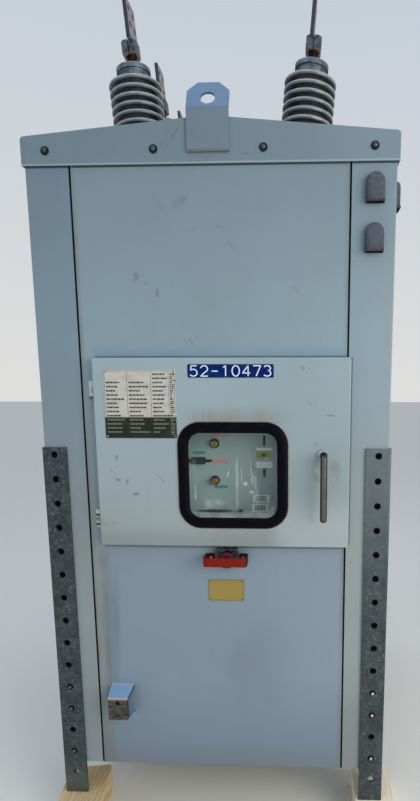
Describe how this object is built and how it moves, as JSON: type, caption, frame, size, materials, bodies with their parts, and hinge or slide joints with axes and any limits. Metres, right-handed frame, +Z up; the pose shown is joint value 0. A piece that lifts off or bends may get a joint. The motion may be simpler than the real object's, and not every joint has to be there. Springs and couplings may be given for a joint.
{
  "type": "substation circuit breaker",
  "caption": "Outdoor vacuum circuit breaker: painted steel cabinet on punched angle legs with gable roof, leaning bushings, hinged mechanism door and trip handle.",
  "frame": {"origin": "on the floor, under the middle of the whole, which is the middle of the cabinet", "axes": "X to the right seen from the front, Y to the back, Z up; the front faces -Y"},
  "size_m": [1.136, 1.426, 2.6277],
  "materials": {
    "cabinet_paint": "semi-gloss grey-green enamel on sheet steel, weathered",
    "roof_paint": "semi-gloss grey enamel, weathered",
    "galvanised_steel": "hot-dip galvanised, dull and mottled",
    "porcelain": "grey glaze",
    "terminal_bronze": "dull tinned bronze casting",
    "gasket_rubber": "black rubber",
    "window_glass": "clear pane",
    "mechanism_paint": "grey-green enamel",
    "brass_knob": "polished brass",
    "copper_knob": "coppery metal",
    "black_plastic": "matte moulded plastic",
    "handle_metal": "worn plated steel",
    "nameplate_metal": "bright satin plate, bare",
    "blue_plate": "blue enamelled plate",
    "yellow_plate": "faded yellow enamelled plate, bare",
    "red_paint": "red enamel",
    "ground_copper": "tinned copper strap, tarnished",
    "hood_casting": "rough painted casting",
    "pine": "rough-sawn pine"
  },
  "bodies": {
    "body": {"base_pan": "cabinet_paint", "blank_plate": "yellow_plate", "bushing_left_front": "porcelain", "bushing_left_middle": "porcelain", "bushing_left_rear": "porcelain", "bushing_right_front": "porcelain", "bushing_right_middle": "porcelain", "bushing_right_rear": "porcelain", "close_button": "brass_knob", "front_panel": "cabinet_paint", "ground_pad": "ground_copper", "hinge_lower": "handle_metal", "hinge_upper": "handle_metal", "leg_front_left": "galvanised_steel", "leg_front_right": "galvanised_steel", "leg_rear_left": "galvanised_steel", "leg_rear_right": "galvanised_steel", "lifting_lug_front": "cabinet_paint", "lifting_lug_rear": "cabinet_paint", "mechanism_box": "mechanism_paint", "mechanism_plate": "mechanism_paint", "open_button": "copper_knob", "position_indicator": "black_plastic", "rear_panel": "cabinet_paint", "roof": "roof_paint", "side_sheet_left": "cabinet_paint", "side_sheet_right": "cabinet_paint", "terminal_left_front": "terminal_bronze", "terminal_left_middle": "terminal_bronze", "terminal_left_rear": "terminal_bronze", "terminal_right_front": "terminal_bronze", "terminal_right_middle": "terminal_bronze", "terminal_right_rear": "terminal_bronze", "timber_block_front_left": "pine", "timber_block_front_right": "pine", "timber_block_rear_left": "pine", "timber_block_rear_right": "pine", "trip_guard": "cabinet_paint", "vent_hood_lower": "hood_casting", "vent_hood_side": "hood_casting", "vent_hood_upper": "hood_casting"},
    "door": {"door": "cabinet_paint", "window_gasket": "gasket_rubber", "window_glass": "window_glass", "handle_escutcheon": "handle_metal", "nameplate": "nameplate_metal", "number_plate": "blue_plate"},
    "handle": {"door_handle": "handle_metal"},
    "trip": {"trip_handle": "red_paint"}
  },
  "joints": [
    {"name": "door_hinge", "type": "hinge", "parent": "body", "child": "door", "pos_m": [-0.357, -0.637, 1.239], "axis": [0, 0, -1], "range_deg": [0, 120]},
    {"name": "handle_turn", "type": "hinge", "parent": "door", "child": "handle", "pos_m": [0.325, -0.655, 1.236], "axis": [0, 1, 0], "range_deg": [0, 90]},
    {"name": "trip_pull", "type": "slide", "parent": "body", "child": "trip", "axis": [0, -1, 0], "range_m": [0, 0.025], "stiffness_N_per_m": 400, "springref_m": -0.01}
  ]
}
